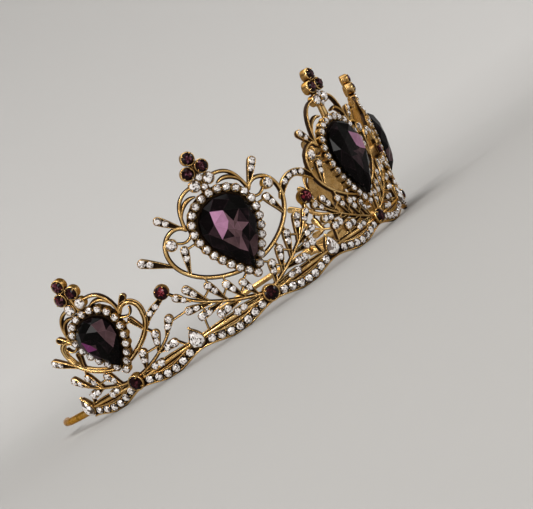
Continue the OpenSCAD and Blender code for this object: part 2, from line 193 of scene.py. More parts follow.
def on_wall(places):
    """Points in the row's frame for an array of (arc, height, depth)."""
    arc, height, depth = np.moveaxis(np.asarray(places, float), -1, 0)
    turn = arc / RING_RADIUS
    r = wall_radius(height) + depth * cos(FLARE)
    z = height + REST_HEIGHT - depth * sin(FLARE)
    return np.stack([r * np.sin(turn), CENTRE_Y - r * np.cos(turn), z], -1)


class Seat:
    """A flat place on the wall with its own axes: along the wall, up the wall and outward."""

    def __init__(self, arc, height, turned=0.0):
        a = arc / RING_RADIUS
        side = np.array([cos(a), sin(a), 0])
        up = np.array([sin(a) * sin(FLARE), -cos(a) * sin(FLARE), cos(FLARE)])
        out = np.array([sin(a) * cos(FLARE), -cos(a) * cos(FLARE), -sin(FLARE)])
        c, s = cos(turned), sin(turned)
        self.axes = np.array([side * c + up * s, up * c - side * s, out])
        self.origin = on_wall((arc, height, 0))

    def __call__(self, points):
        return np.asarray(points, float) @ self.axes + self.origin


def motif_seat(m, arc, height):
    return Seat(centre_arc(m) + arc, height)


def gem_seat(m):
    return motif_seat(m, 0, GEM_SIZES[KINDS[m]][2])


class Half:
    """Half a motif. Its own arc runs from the motif's middle towards the cusp on its side."""

    def __init__(self, row):
        self.motif, self.side, self.length, self.form, self.rail_stones = row
        self.kind = KINDS[self.motif]
        self.middle = centre_arc(self.motif)
        # The ferns of the larger motifs are drawn for half a pitch.
        self.stretch = 1.0 if self.kind == 0 else self.length / (PITCH / 2)

    def __call__(self, places):
        return on_wall(np.asarray(places) * [self.side, 1, 1] + [self.middle, 0, 0])

    def seat(self, arc, height, turned=0.0):
        return Seat(self.middle + self.side * arc, height, turned)


def new_mesh(name, points, faces, material, smooth):
    mesh = bpy.data.meshes.new(name)
    mesh.from_pydata(points, [], faces)
    mesh.polygons.foreach_set("use_smooth", [smooth] * len(faces))
    mesh.materials.append(material)
    return mesh


def new_object(name, data):
    made = bpy.data.objects.new(name, data)
    bpy.context.scene.collection.objects.link(made)
    return made


class Shape:
    """Points and faces of one piece, gathered part by part, with a tone for each face and each point."""

    def __init__(self):
        self.points = []
        self.faces = []
        self.point_tones = []
        self.face_tones = []
        self.count = 0

    def add(self, points, faces, point_tones=0.0, face_tones=0.0):
        points = np.asarray(points, float).reshape(-1, 3)
        n = len(points)
        self.points.append(points)
        self.faces.extend(tuple(int(i) + self.count for i in face) for face in faces)
        self.point_tones.append(np.broadcast_to(point_tones, n))
        self.face_tones.append(np.broadcast_to(face_tones, len(faces)))
        self.count += n

    def make(self, name, finish, *replaces):
        """Makes the piece in metres, in the row's frame, riding on the one body."""
        material, slot, smooth = finish
        points = np.concatenate(self.points)
        points[:, 2] = np.maximum(points[:, 2], 0.0)
        mesh = new_mesh(name, (points * MM).tolist(), self.faces, material, smooth)
        # Each point's tone is patina, with painted shade on the flanks of wires and in the bezel.
        tones = mesh.attributes.new("patina_and_shade", "FLOAT", "POINT")
        tones.data.foreach_set("value", np.concatenate(self.point_tones).astype(np.float32))
        glints = mesh.attributes.new("glint", "FLOAT", "FACE")
        glints.data.foreach_set("value", np.concatenate(self.face_tones).astype(np.float32))
        bm = bmesh.new()
        bm.from_mesh(mesh)
        bmesh.ops.recalc_face_normals(bm, faces=bm.faces)
        bm.to_mesh(mesh)
        bm.free()
        piece = new_object(name, mesh)
        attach(piece, "root")
        if replaces:
            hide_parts(*replaces)


def even_turns(count):
    return np.arange(count) * 2 * pi / count


def circle(count):
    turns = even_turns(count)
    return np.stack([np.cos(turns), np.sin(turns)], -1)


def curve_points(handles, steps):
    t = np.linspace(0, 1, steps + 1)[:, None]
    a, b, c, d = (np.array(h, float) for h in handles)
    return (1 - t) ** 3 * a + 3 * (1 - t) ** 2 * t * b + 3 * (1 - t) * t**2 * c + t**3 * d


def even_steps(path, count=0, step=0.0):
    """Points along a path: a count of them round a closed one, or one at each step of an open one."""
    if count:
        path = np.concatenate([path, path[:1]])
    sums = np.concatenate([[0], np.cumsum(np.linalg.norm(np.diff(path, axis=0), axis=1))])
    wanted = np.arange(count) * sums[-1] / count if count else np.arange(0, sums[-1], step)
    return np.stack([np.interp(wanted, sums, path[:, i]) for i in (0, 1)], -1)


def at_depth(flat, depth):
    return np.concatenate([flat, np.full((len(flat), 1), depth)], -1)


def wall_metric(heights):
    """True lengths of one unit of arc and one of height."""
    return np.stack([wall_radius(heights) / RING_RADIUS, np.full_like(heights, 1 / cos(FLARE))], -1)


def directions(path):
    """For each point of a path: the metric, the way along in true lengths, a unit step across."""
    metric = wall_metric(path[:, 1])
    run = np.gradient(path, axis=0) * metric
    run /= np.linalg.norm(run, axis=1)[:, None]
    across = np.stack([-run[:, 1], run[:, 0]], -1) / metric
    return metric, run, across


def ring_faces(rings, sides):
    """Quads between rings of points."""
    faces = []
    for i in range(rings - 1):
        for j in range(sides):
            a, b = i * sides + j, i * sides + (j + 1) % sides
            faces.append((a, b, b + sides, a + sides))
    return faces


def tube_faces(rings, sides):
    """Rings of points with one flat face over each end."""
    last = (rings - 1) * sides
    return ring_faces(rings, sides) + [tuple(range(sides)), tuple(range(last, last + sides))]


def fan(first, count, centre):
    return [(first + j, first + (j + 1) % count, centre) for j in range(count)]


def capped_faces(rings, sides):
    """Rings of points whose two ends close on the two points that follow them."""
    total = rings * sides
    return ring_faces(rings, sides) + fan(0, sides, total) + fan(total - sides, sides, total + 1)


def mirrored(rows):
    return [(-across, *rest) for across, *rest in reversed(rows)]


def two_sided(left, middle, under):
    """A closed section with two like sides: its left, the middle of its top, the right of its underside."""
    return left + [middle] + mirrored(left) + under + mirrored(under)


# Sections of wires and rails: across as a share of the half width, depth, patina with painted shade (dark
# flanks).
ROUND_WIRE = two_sided(
    [(-1.0, 0.0, 0.9), (-0.96, 0.34, 0.8), (-0.8, 0.48, 1.0), (-0.68, 0.64, 0.85), (-0.4, 0.86, 0.16)],
    (0.0, 0.94, 0.0),
    [(0.82, -0.5, 0.6), (0.42, -0.72, 0.1)],
)
STEM = two_sided(
    [(-1.0, 0.0, 0.8), (-0.96, 0.36, 0.85), (-0.72, 0.46, 1.0), (-0.44, 0.8, 0.42)],
    (0.0, 1.0, 0.0),
    [(0.6, -0.7, 0.15)],
)
CHANNEL = two_sided(
    [(-1.0, 0.3, 0.3), (-0.95, 0.66, 0.1), (-0.86, 0.8, 0.0), (-0.76, 0.74, 0.1), (-0.7, 0.34, 1.0)],
    (0.0, 0.3, 1.0),
    [(0.9, -0.6, 0.3), (0.6, -0.75, 0.25)],
)
BLADE = two_sided(
    [
        (-1.0, 0.2, 0.4), (-0.95, 0.56, 0.1), (-0.82, 0.64, 0.0), (-0.7, 0.52, 0.5), (-0.6, 0.2, 1.0),
        (-0.46, 0.34, 0.9), (-0.34, 0.74, 0.0),
    ],
    (0.0, 1.0, 0.0),
    [(0.8, -0.7, 0.3)],
)
# The base rail's section, across in millimetres: a broad rim below the stones and a thin one above.
RAIL = [
    (-1.75, -0.3, 0.15), (-1.75, 0.45, 0.0), (-1.62, 0.78, 0.0), (-1.38, 0.88, 0.0), (-1.16, 0.74, 0.15),
    (-1.08, 0.34, 1.0), (0.0, 0.3, 1.0), (1.08, 0.34, 1.0), (1.16, 0.66, 0.3), (1.32, 0.78, 0.0),
    (1.54, 0.74, 0.1), (1.68, 0.5, 0.4), (1.7, -0.3, 0.3), (1.5, -0.74, 0.3), (0.5, -0.75, 0.2),
    (-0.5, -0.75, 0.2), (-1.5, -0.74, 0.2),
]
# A wire's round ends shrink towards this depth, ring by ring at these turns.
WIRE_MID_DEPTH = 0.05
END_TURNS = np.radians([20, 45, 70, 86])
# Rope-like ripples on a wire's upper half: height, step, slant.
STEM_RIPPLE = (0.06, 0.8, 0.35)
LEAF_RIPPLE = (0.09, 0.55, 0.5)


def sweep(shape, wall, path, widths, section, ripple=None, rounded=True):
    """A section swept along a path on the wall, with round ends and ripples on its top."""
    metric, run, across = directions(path)
    widths = np.broadcast_to(widths, len(path))
    steps = np.linalg.norm(np.diff(path, axis=0) * metric[1:], axis=1)
    lengths = np.concatenate([[0], np.cumsum(steps)])
    shrink = np.ones(len(path))
    if rounded:
        reach = np.sin(END_TURNS)[:, None]
        first = path[0] - reach[::-1] * widths[0] * run[0] / metric[0]
        last = path[-1] + reach * widths[-1] * run[-1] / metric[-1]
        extra = len(END_TURNS)
        held = np.clip(np.arange(-extra, len(path) + extra), 0, len(path) - 1)
        path = np.concatenate([first, path, last])
        across, widths, lengths = across[held], widths[held], lengths[held]
        shrink = np.concatenate([np.cos(END_TURNS[::-1]), shrink, np.cos(END_TURNS)])
    spread, depth, tones = np.array(section).T
    aside = spread * (widths * shrink)[:, None]
    deep = WIRE_MID_DEPTH + (depth - WIRE_MID_DEPTH) * shrink[:, None]
    if ripple:
        height, step, slant = ripple
        raised = np.clip((depth - 0.5) * 2, 0, 1)
        phase = lengths[:, None] / step + spread * slant
        deep = deep + height * raised * np.cos(2 * pi * phase) * shrink[:, None]
    flat = path[:, None, :] + across[:, None, :] * aside[:, :, None]
    places = np.concatenate([flat, deep[:, :, None]], -1)
    shape.add(wall(places), tube_faces(len(path), len(section)), np.tile(tones, len(path)))


def stacked(shape, place, levels, middle, back_tone=None):
    """A closed part of flat outlines, from back to front: rows of outline, depth, patina and painted shade.
    """
    sides = len(levels[0][0])
    rings = [at_depth(flat, depth) for flat, depth, _ in levels]
    ends = [[*middle, levels[0][1]], [*middle, levels[-1][1]]]
    tones = [tone for _, _, tone in levels for _ in range(sides)]
    tones += [levels[0][2] if back_tone is None else back_tone, levels[-1][2]]
    shape.add(place(np.concatenate([*rings, ends])), capped_faces(len(levels), sides), tones)


def lathe(shape, seat, profile, sides, offset):
    """A turned part: profile rows are radius, depth, patina, from the back to the front."""
    ring = circle(sides)
    stacked(shape, seat, [(ring * radius + offset, depth, tone) for radius, depth, tone in profile], offset)


def ball(sides=7, rows=4):
    points = []
    for v in pi * np.arange(1, rows) / rows:
        for x, y in circle(sides):
            points.append((sin(v) * x, sin(v) * y, cos(v)))
    return np.array(points + [(0, 0, 1), (0, 0, -1)]), capped_faces(rows - 1, sides)


BALL_POINTS, BALL_FACES = ball()


def bead(shape, seat, centre, radii, tone=0.0):
    shape.add(seat(BALL_POINTS * radii + centre), BALL_FACES, tone)


CLAW_COUNT = 4
# The two beads of a claw: share of the stone's radius, depth from the claw's own, size as a share.
CLAW_BEADS = [(1.06, -0.16, 1.0), (0.95, 0.16, 0.9)]
# A claw bead's length as a share of its width, its patina, and the usual turn of the first claw.
CLAW_LENGTH = 1.35
CLAW_PATINA = 0.05
EVEN_TURN = pi / 4


def claws(shape, seat, radius, depth, size, first=EVEN_TURN, offset=(0, 0)):
    """Small claws that bend over a round stone's edge, the first at a given turn."""
    for a in first + even_turns(CLAW_COUNT):
        for reach, rise, share in CLAW_BEADS:
            x = offset[0] + radius * reach * cos(a)
            y = offset[1] + radius * reach * sin(a)
            radii = (size * share, size * share, size * CLAW_LENGTH)
            bead(shape, seat, (x, y, depth + rise), radii, CLAW_PATINA)


def cup(shape, seat, radius, floor, top, wall, sides, tarnish=0.0, offset=(0, 0)):
    """A round collar with a seat for one stone."""
    outer = radius + wall
    profile = [
        (outer * 0.7, -0.95, 0.3), (outer * 0.94, -0.9, 0.3), (outer, -0.6, 0.3), (outer, floor, 0.35),
        (outer * 1.02, top - 0.3, 0.15 + tarnish), (outer * 0.99, top - 0.06, tarnish),
        (outer * 0.93, top, tarnish), (radius * 1.03, top - 0.06, 0.4), (radius, top - 0.25, 1.0),
        (radius * 0.9, floor, 1.0),
    ]
    lathe(shape, seat, profile, sides, offset)


# Cups by their stone: radius, floor, top, wall, sides and tarnish, then the claws' radius, depth and size.
CUPS = {
    "halo": [(SMALL_STONE / 2 + 0.04, 0.45, 1.08, 0.18, 18, 0.25), (SMALL_STONE / 2 + 0.04, 1.16, 0.19)],
    "clear": [(CLEAR_STONE / 2, 0.7, 1.25, 0.3, 24, 0.0), (CLEAR_STONE / 2, 1.42, 0.2)],
    "crest": [(CREST_STONE / 2 - 0.02, 0.8, 1.68, 0.34, 24, 0.0), (CREST_STONE / 2, 1.9, 0.22)],
    "base": [(BASE_STONE / 2 - 0.05, 0.8, 1.85, 0.48, 24, 0.0), (BASE_STONE / 2, 2.05, 0.26)],
    "link": [(LINK_STONE / 2 + 0.06, 0.8, 1.6, 0.22, 24, 0.45), (LINK_STONE / 2, 1.92, 0.22)],
}


def clawed_cup(shape, seat, kind, first=EVEN_TURN, offset=(0, 0)):
    cup_sizes, claw_sizes = CUPS[kind]
    cup(shape, seat, *cup_sizes, offset)
    claws(shape, seat, *claw_sizes, first, offset)


# The two stones in a bud: radii as shares of the bud's, the step between them, and their depth.
OUTER_SHARE = 0.87
INNER_SHARE = 0.78
STEP_IN_BUD = 2.3
LEAF_STONE_DEPTH = 0.72
# How much higher a stone of twice the size would stand.
FULLER_RISE = 1.2
# A bud: depth of its sunk floor, half width of its root, and the number of beads on that.
FLOOR_DEPTH = 0.3
ROOT_HALF = 0.5
ROOT_BEADS = 4


def bud(shape, half, row, stones=None, stretch=1.0, rim=0.27, floor=FLOOR_DEPTH, full=1.0):
    """A teardrop with a raised rim and a sunk floor, from its narrow root to its round tip.

    A list of stones, where one is given, gets two more, and beads run on to the root. Its rows are half
    motif, place, radius, the way that the bud lies, depth.
    """
    *ends, radius = row
    root, tip = np.reshape(ends, (2, 2)) * [stretch, 1.0]
    metric = wall_metric((root[1] + tip[1]) / 2)
    along = (tip - root) * metric
    length = np.linalg.norm(along)
    along /= length
    across = np.array([-along[1], along[0]])
    reach = length - radius
    arc = np.linspace(pi / 2, -pi / 2, 13)
    rise = np.array([0.0, 0.14, 0.3, 0.46, 0.62, 0.8])
    swell = rise**2 * (3 - 2 * rise)
    levels = [
        (0.3, -0.74, 0.05), (0.06, -0.6, 0.3), (0.0, 0.1, 0.8), (0.0, 0.5, 0.6), (0.05, 0.74, 0.1),
        (0.13, 0.86, 0.0), (rim * 0.7, 0.84, 0.0), (rim, 0.7, 0.4), (rim + 0.05, floor, 1.0),
    ]
    rings = []
    for inset, depth, tone in levels:
        r = radius - inset
        w = max(ROOT_HALF - inset, 0.06)
        start = inset * 1.2
        round_tip = np.stack([reach + r * np.cos(arc), r * np.sin(arc)], -1)
        high = np.stack([start + (reach - start) * rise, w + (r - w) * swell], -1)
        ring = np.concatenate([round_tip, high[::-1] * [1, -1], [[start - w * 0.7, 0.0]], high])
        rings.append((root + (ring[:, :1] * along + ring[:, 1:] * across) / metric, depth, tone))
    stacked(shape, half, rings, root + along * reach * 0.75 / metric, back_tone=0.25)
    if stones is None:
        return
    for k in range(ROOT_BEADS):
        grain = root + along * (0.5 + 0.62 * k) / metric
        size = 0.17 + 0.02 * k
        bead(shape, half.seat(*grain), (0, 0, floor + 0.08), size, 0.55)
    outer = tip - along * radius / metric
    inner = outer - along * STEP_IN_BUD / metric
    depth = LEAF_STONE_DEPTH + FULLER_RISE * (full - 1)
    stones.append((half, outer, radius * OUTER_SHARE * full, along, depth))
    stones.append((half, inner, radius * INNER_SHARE * full, along, depth))


# How a stone is cut: radius and depth of the table and of the middle row, depth under the girdle, radius and
# depth of the back. Radii are shares of the outline's, and depths are from the girdle.
Cut = namedtuple("Cut", "table row under_girdle back")
ROUND_CUT = Cut((0.56, 0.40), (0.80, 0.22), -0.10, (0.45, -0.5))
PEAR_CUT = Cut((0.6, 2.55), (0.83, 1.75), -0.5, (0.5, -1.9))
CUSP_CUT = Cut((0.55, 0.8), (0.8, 0.5), -0.15, (0.5, -0.4))
# The eight points inside the table: reach as a share of the table's, and the first one's number.
TABLE_INNER = 0.42
INNER_FIRST = 64
OUTLINE_TURNS = even_turns(16)


def gem_template(outline, middle, cut):
    """A brilliant over an outline of 16 points, where every second one carries a kite.

    It returns points, faces and the kind of each face: table, star, kite, upper or side.
    """
    n = len(outline) // 2

    def level(picked, scale, depth):
        return at_depth(middle + (picked - middle) * scale, depth)

    even, odd = outline[0::2], outline[1::2]
    between = (even + np.roll(even, -1, axis=0)) / 2
    table_depth = cut.table[1]
    parts = [
        level(even, *cut.table),
        level(odd, *cut.row),
        level(outline, 1.0, 0.0),
        level(outline, 1.0, cut.under_girdle),
        level(outline, *cut.back),
        level(between, TABLE_INNER * cut.table[0], table_depth),
        np.array([[*middle, table_depth], [*middle, cut.back[1]]]),
    ]
    starts = np.cumsum([0] + [len(p) for p in parts])
    t, m, g, low, bottom, deep, ends = starts[:7]
    faces = []
    kinds = []
    for i in range(n):
        j = (i + 1) % n
        before = (i - 1) % n
        faces += [
            (t + i, t + j, deep + i),
            (deep + before, t + i, deep + i),
            (deep + before, deep + i, ends),
            (t + i, m + i, t + j),
            (t + i, m + before, g + 2 * i, m + i),
            (g + 2 * i, g + 2 * i + 1, m + i),
            (g + 2 * i + 1, g + (2 * i + 2) % (2 * n), m + i),
        ]
        kinds += ["table"] * 3 + ["star", "kite", "upper", "upper"]
    for k in range(2 * n):
        j = (k + 1) % (2 * n)
        faces += [
            (g + k, low + k, low + j, g + j),
            (low + k, bottom + k, bottom + j, low + j),
            (bottom + k, bottom + j, ends + 1),
        ]
        kinds += ["side"] * 3
    return np.concatenate(parts), faces, kinds


ROUND_POINTS, ROUND_FACES, ROUND_KINDS = gem_template(circle(16), np.zeros(2), ROUND_CUT)
rng = np.random.default_rng(20)

# The chance that a facet of each kind shows a dark painted reflection.
DARK_CHANCE = {"table": 0.22, "star": 0.4, "kite": 0.42, "upper": 0.72, "side": 1.0}
# A stone's darkest and lightest tone, and how much likelier its dark facets are.
Tones = namedtuple("Tones", "low high darker")
CLEAR_TONES = Tones(0.05, 1.0, 1.0)
BASE_TONES = Tones(0.0, 0.8, 1.9)
CREST_TONES = Tones(0.0, 0.9, 1.9)
LINK_TONES = Tones(0.0, 0.95, 2.0)
# How far from the darkest tone towards the lightest a dark facet is, and a light one.
DARK_SHARES = (0.0, 0.35)
LIGHT_SHARES = (0.55, 1.0)
# The round stones: radius, depth of the girdle, tones.
STONES = {
    "halo": (SMALL_STONE / 2 - 0.01, 1.08, CLEAR_TONES),
    "clear": (CLEAR_STONE / 2 + 0.08, 1.35, CLEAR_TONES),
    "side": (CLEAR_STONE / 2, 1.3, CLEAR_TONES),
    "rail": (1.2, 0.88, CLEAR_TONES),
    "base": (BASE_STONE / 2 - 0.02, 2.0, BASE_TONES),
    "crest": (CREST_STONE / 2 - 0.02, 1.85, CREST_TONES),
    "link": (LINK_STONE / 2 + 0.08, 1.8, LINK_TONES),
}
CREST_MIDDLE_DEPTH = 1.4


def facet_tones(kinds, tones):
    """A dark or light painted reflection for each facet, by chance. Those near the edge are more often dark.
    """
    drawn = []
    for kind in kinds:
        dark = rng.random() < DARK_CHANCE[kind] * tones.darker
        share = rng.uniform(*(DARK_SHARES if dark else LIGHT_SHARES))
        drawn.append(tones.low + (tones.high - tones.low) * share)
    return drawn


def round_stone(shape, seat, radius, depth, tones=CLEAR_TONES, offset=(0, 0)):
    turned = rng.uniform(0, pi / 4)
    c, s = cos(turned), sin(turned)
    points = ROUND_POINTS * radius
    points = points @ np.array([[c, s, 0], [-s, c, 0], [0, 0, 1]]) + [*offset, depth]
    shape.add(seat(points), ROUND_FACES, 0.0, facet_tones(ROUND_KINDS, tones))


# The largest value of sin(t) * sin(t / 2), which makes a pear as wide as its width says.
PEAR_SWELL = 0.7698
# Height of a pear's middle as a share of its own.
PEAR_MIDDLE = 0.56
# A pear that grows by one step has its point this much lower, and is this much higher in all.
GROW_AT_POINT = 1.3
GROW_IN_HEIGHT = 2.4


def pear(width, height, turns):
    """Outline of a pear, point down at the origin."""
    x = width / 2 * np.sin(turns) * np.sin(turns / 2) / PEAR_SWELL
    return np.stack([x, height * (1 - np.cos(turns)) / 2], -1)


def grown_pear(width, height, grow, steps):
    """A pear outline set outward by grow on every side."""
    grown = pear(width + 2 * grow, height + GROW_IN_HEIGHT * grow, even_turns(steps))
    return grown - [0, GROW_AT_POINT * grow]


def pear_levels(shape, seat, width, height, levels, steps=48, flip=1.0):
    """A closed part of pear outlines: rows of grow, depth, patina and painted shade. A flip of -1 sets its
    point up.
    """
    rings = [(grown_pear(width, height, grow, steps) * flip, depth, tone) for grow, depth, tone in levels]
    stacked(shape, seat, rings, np.array([0, PEAR_MIDDLE * height]) * flip)


# The pear setting: grow from the gem's outline, depth, patina and painted shade.
BACK_PLATE = [
    (1.9, -1.0, 0.28), (2.5, -0.96, 0.28), (2.7, -0.8, 0.3), (2.7, -0.3, 0.7), (2.5, -0.1, 0.95),
    (1.4, 0.1, 1.0),
]
# The bezel is nearly black all over: painted shade in the gap between the gem and its halo.
BEZEL = [
    (0.5, -0.4, 1.0), (0.48, 0.4, 1.0), (0.4, 0.9, 1.0), (0.3, 1.1, 0.95), (0.18, 1.15, 0.95),
    (0.06, 1.1, 1.0), (0.0, 1.0, 1.0), (-0.6, 0.6, 1.0),
]
HALO_GROW = 1.7
HALO_STEPS = 180


def halo_spots(m):
    width, height, _, count = GEM_SIZES[KINDS[m]]
    return even_steps(grown_pear(width, height, HALO_GROW, HALO_STEPS), count)


def pear_setting(shape, m):
    width, height, _, _ = GEM_SIZES[KINDS[m]]
    seat = gem_seat(m)
    pear_levels(shape, seat, width, height, BACK_PLATE)
    pear_levels(shape, seat, width, height, BEZEL)
    for spot in halo_spots(m):
        inward = np.array([0, PEAR_MIDDLE * height]) - spot
        clawed_cup(shape, seat, "halo", atan2(inward[1], inward[0]), spot)


def halo_stones(shape, m):
    """The stones round the pear, then the clear ones of the crest and of the side scrolls."""
    kind = KINDS[m]
    for spot in halo_spots(m):
        round_stone(shape, gem_seat(m), *STONES["halo"], spot)
    clear_arc, clear_height = CRESTS[kind][:2]
    for side in (-1, 1):
        round_stone(shape, motif_seat(m, side * clear_arc, clear_height), *STONES["clear"])
        if SIDE_CLEARS[kind]:
            arc, height = SIDE_CLEARS[kind]
            round_stone(shape, motif_seat(m, side * arc, height), *STONES["side"])
    if kind:
        for rise, radius in CREST_MIDDLES:
            round_stone(shape, motif_seat(m, 0, clear_height + rise), radius, CREST_MIDDLE_DEPTH)


# The crest's spine: gap below and above it, half widths, and where the claws beside it start.
SPINE_GAP = 1.5
SPINE_WIDTHS = (1.5, 0.7)
SIDE_TURN = 0.4


def crest_metal(shape, m):
    kind = KINDS[m]
    _, height, point, _ = GEM_SIZES[kind]
    clear_arc, clear_height, dark_arc, dark_height, top_height = CRESTS[kind]
    middle = centre_arc(m)
    spine = np.linspace((middle, point + height + SPINE_GAP), (middle, top_height - SPINE_GAP), 9)
    sweep(shape, on_wall, spine, np.linspace(*SPINE_WIDTHS, 9), BLADE, rounded=False)
    if kind:
        for rise, radius in CREST_MIDDLES:
            seat = motif_seat(m, 0, clear_height + rise)
            cup(shape, seat, radius, floor=0.9, top=1.3, wall=0.2, sides=16)
    for side in (-1, 1):
        clawed_cup(shape, motif_seat(m, side * clear_arc, clear_height), "clear", SIDE_TURN)
        clawed_cup(shape, motif_seat(m, side * dark_arc, dark_height), "crest", SIDE_TURN)
    clawed_cup(shape, motif_seat(m, 0, top_height), "crest")


# Painted light in the large pears, mirrored on the right: across and up from the pear's middle in shares of
# its size, reach, tone. Tones rise from black through mauve to pink, and above pink they turn deep violet.
PINK = 0.84
PEAR_LIGHTS = [
    [(-0.22, 0.0, 0.12, 1.0), (0.42, 0.04, 0.12, 0.42), (0.34, 0.17, 0.09, 0.36)],
    [
        (-0.17, 0.17, 0.14, 0.8), (0.07, 0.03, 0.14, 0.52), (-0.06, -0.12, 0.12, 0.46),
        (0.18, -0.28, 0.12, 0.4),
    ],
    [(0.2, 0.09, 0.13, 0.74), (-0.05, -0.1, 0.12, 0.25), (-0.3, -0.05, 0.08, 0.16)],
]
# Lights above the bright tone vary less. A glow, never above that tone, is a share of its light and reaches
# further. The other facets have one of the dark tones, which differ in how often they come.
BRIGHT = 0.6
BRIGHT_SPREAD = 0.08
DIM_SPREAD = 0.3
GLOW_REACH = 1.45
GLOW_SHARES = (0.1, 0.5)
PEAR_DARKS = [0.0, 0.06, 0.13]
DARKS_DRAWN = [0.5, 0.3, 0.2]
# Depth of a large pear's girdle, and how far the points inside its table stray, as a share of its width.
PEAR_GIRDLE = 2.3
TABLE_STRAY = 0.045
# The painted highlight on a facet's edge: its width, then what its tone gains and is multiplied by.
EDGE_WIDTH = 0.055
EDGE_LIGHT = 0.05
EDGE_GAIN = 1.05


def highlit_edges(points, faces, tones):
    """Each facet drawn in a little from its edges, with a painted highlight on the strip of edge round it.
    """
    new_points = list(points)
    new_faces = []
    new_tones = []
    for face, tone in zip(faces, tones):
        corners = points[list(face)]
        centre = corners.mean(0)
        arms = corners - centre
        reach = np.linalg.norm(arms, axis=1).mean()
        count = len(face)
        inner = range(len(new_points), len(new_points) + count)
        new_points += list(centre + arms * (1 - 2 * EDGE_WIDTH / reach))
        new_faces.append(tuple(inner))
        new_faces += [(face[i - 1], face[i], inner[i], inner[i - 1]) for i in range(count)]
        edge = min(tone * EDGE_GAIN + EDGE_LIGHT, max(tone, PINK))
        new_tones += [tone] + [edge] * count
    return np.array(new_points), new_faces, new_tones


def pear_tone(place, lights):
    """Painted tone of a facet: one of a few dark ones, or lighter where a painted light or its glow reaches
    it.
    """
    tone = rng.choice(PEAR_DARKS, p=DARKS_DRAWN)
    for x, y, reach, strength in lights:
        away = hypot(place[0] - x, place[1] - y)
        if away < reach:
            spread = BRIGHT_SPREAD if strength > BRIGHT else DIM_SPREAD
            tone = max(tone, strength * (1 - rng.uniform(0.0, spread)))
        elif away < GLOW_REACH * reach:
            tone = max(tone, min(strength, BRIGHT) * rng.uniform(*GLOW_SHARES))
    return tone


def pear_gem(m):
    kind = KINDS[m]
    width, height, _, _ = GEM_SIZES[kind]
    mirror = -1 if m > 2 else 1
    lights = [(mirror * x, y, reach, strength) for x, y, reach, strength in PEAR_LIGHTS[kind]]
    middle = np.array([0, PEAR_MIDDLE * height])
    points, faces, kinds = gem_template(pear(width, height, OUTLINE_TURNS), middle, PEAR_CUT)
    points[INNER_FIRST:INNER_FIRST + 8, :2] += rng.uniform(-TABLE_STRAY, TABLE_STRAY, (8, 2)) * width
    points = points + [0, 0, PEAR_GIRDLE]
    tones = []
    for face, facet in zip(faces, kinds):
        place = (points[list(face)].mean(0)[:2] - middle) / [width, height]
        tone = pear_tone(place, lights)
        tones.append(0.0 if facet == "side" else tone)
    points, faces, tones = highlit_edges(points, faces, tones)
    shape = Shape()
    shape.add(gem_seat(m)(points), faces, 0.0, tones)
    shape.make("pear_" + PLACES[m], PURPLE, "gem_" + PLACES[m])


# The base rail hangs in a scallop: height of its ends, how far it sags, and its ends' length without stones.
RAIL_TOP = -0.9
RAIL_SAG = 2.1
RAIL_MARGIN = 3.9
# Beads between rail stones, on each side: place across, depth, radii, patina.
RAIL_BEADS = [(0.72, 0.86, (0.26, 0.24, 0.3), 0.05), (0.72 * 1.1, 0.6, (0.34, 0.3, 0.3), 0.2)]


def on_rail(half, arcs):
    return np.stack([arcs, RAIL_TOP - RAIL_SAG * np.sin(pi * arcs / half.length) ** 2], -1)


def rail_spots(half):
    free = half.length - 2 * RAIL_MARGIN
    return on_rail(half, RAIL_MARGIN + free * np.arange(half.rail_stones) / (half.rail_stones - 1))


def base_rail(shape, half):
    sweep(shape, half, on_rail(half, np.linspace(0.0, half.length, 31)), 1.0, RAIL, rounded=False)
    spots = rail_spots(half)
    gaps = (spots[1:] + spots[:-1]) / 2
    slopes = np.diff(spots, axis=0)
    for spot, slope in zip(gaps, slopes):
        seat = half.seat(*spot, atan2(slope[1], slope[0]) * half.side)
        for side in (-1, 1):
            for across, depth, radii, tone in RAIL_BEADS:
                bead(shape, seat, (0, side * across, depth), radii, tone)


def beads_along(shape, half, path, across, depth, radius):
    """A row of small beads down each side of a path."""
    normal = directions(path)[2]
    for side in (-1, 1):
        spots = path + side * normal * across[:, None]
        for spot in even_steps(spots, step=radius * 2.5):
            bead(shape, half.seat(*spot), (0, 0, depth), radius)


# The blade above the rail: where it starts, how far it ends short of the cusp, its height and its rise.
BLADE_START = 2.4
BLADE_SHORT = 2.0
BLADE_HEIGHT = -0.2
BLADE_RISE = 0.65


def blade(shape, half):
    length = half.length - (BLADE_START + BLADE_SHORT)
    t = np.linspace(0, 1, 61)
    path = np.stack([BLADE_START + length * t, BLADE_HEIGHT + BLADE_RISE * t], -1)
    widths = 0.8 + 0.6 * np.sin(pi * t)
    sweep(shape, half, path, widths, BLADE)
    beads_along(shape, half, path[3:-3], widths[3:-3] * 0.86, depth=0.62, radius=0.17)


# Half widths of the wires.
END_SCROLL = 0.85
SCROLL = 0.7
TOP_SCROLL = 0.6
JOINT = 0.36
FERN_WIDTHS = (0.66, 0.46)


